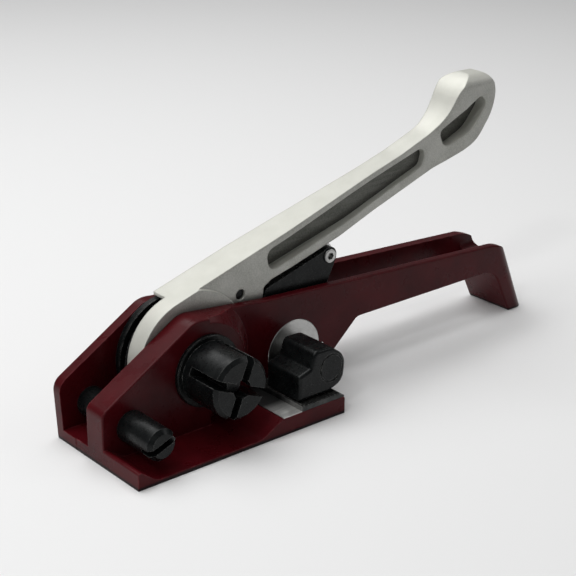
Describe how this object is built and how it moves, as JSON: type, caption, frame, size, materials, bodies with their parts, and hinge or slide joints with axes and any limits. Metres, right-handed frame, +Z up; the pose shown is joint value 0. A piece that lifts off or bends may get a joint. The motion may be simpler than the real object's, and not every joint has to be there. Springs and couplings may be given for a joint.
{
  "type": "windlass strapping tensioner",
  "caption": "Hand tensioner for strap: red cast frame, open strap bay, slotted windlass drum with ratchet, pump lever and sprung gripper jaw.",
  "frame": {"origin": "on the frame's flat underside, straight below the windlass axis, on the strap's centreline", "axes": "+X from the nose to the rear foot, +Y from the open strap bay to the far wall, +Z up; every rotating part turns about an axis along Y"},
  "size_m": [0.3168, 0.0796, 0.151],
  "materials": {
    "frame_paint": "dark red semi-gloss powder coat on cast iron",
    "lever_cast": "satin cast, sides fine-grained, top smoothed",
    "black_oxide": "black oxide, oiled, edges worn bright",
    "bright_steel": "turned and ground",
    "spring_steel": "drawn wire",
    "bronze": "sintered bush"
  },
  "bodies": {
    "frame": {"frame_casting": "frame_paint", "gripper_plate": "bright_steel", "gripper_plate_screws": "black_oxide", "front_guide_pin": "black_oxide", "guide_pin_washer": "bright_steel", "guide_pin_nut": "bright_steel", "guide_pin_spacer": "black_oxide", "windlass_bush_near": "bronze", "windlass_bush_far": "bronze", "gripper_bush_far": "bronze", "hold_pawl_pin": "black_oxide", "hold_pawl_spring": "spring_steel", "gripper_spring": "spring_steel"},
    "windlass": {"windlass_drum": "black_oxide", "ratchet_wheel": "black_oxide", "ratchet_key": "black_oxide", "pawl_guide_washers": "black_oxide", "ratchet_spacer": "black_oxide", "windlass_washer": "bright_steel", "windlass_ring": "spring_steel"},
    "lever": {"tension_lever": "lever_cast", "lever_bush": "bronze", "drive_pawl_pin": "black_oxide", "drive_pawl_spring": "spring_steel"},
    "drive_pawl": {"drive_pawl": "black_oxide"},
    "hold_pawl": {"hold_pawl": "black_oxide"},
    "gripper": {"gripper_shaft": "bright_steel", "gripper_jaw": "black_oxide", "gripper_jaw_pin": "spring_steel", "gripper_arm": "black_oxide", "gripper_arm_key": "black_oxide", "gripper_arm_roller": "bright_steel", "gripper_arm_bolt": "bright_steel", "gripper_arm_nut": "bright_steel", "gripper_washer": "bright_steel", "gripper_ring": "spring_steel"}
  },
  "joints": [
    {"name": "lever_pump", "type": "hinge", "parent": "frame", "child": "lever", "pos_m": [0, 0, 0.0342], "axis": [0, -1, 0], "range_deg": [0, 90]},
    {"name": "windlass_spin", "type": "hinge", "parent": "frame", "child": "windlass", "pos_m": [0, 0, 0.0342], "axis": [0, -1, 0], "continuous": true},
    {"name": "drive_pawl_pivot", "type": "hinge", "parent": "lever", "child": "drive_pawl", "pos_m": [0.0343, 0, 0.0613], "axis": [0, -1, 0], "range_deg": [0, 9], "stiffness_Nm_per_rad": 0.02, "springref_deg": -17.19},
    {"name": "hold_pawl_pivot", "type": "hinge", "parent": "frame", "child": "hold_pawl", "pos_m": [0.044, 0, 0.0086], "axis": [0, -1, 0], "range_deg": [0, 5.5], "stiffness_Nm_per_rad": 0.03, "springref_deg": -17.19},
    {"name": "gripper_pivot", "type": "hinge", "parent": "frame", "child": "gripper", "pos_m": [0.0658, 0, 0.0226], "axis": [0, 1, 0], "range_deg": [0, 25], "stiffness_Nm_per_rad": 0.3, "springref_deg": -28.65}
  ]
}
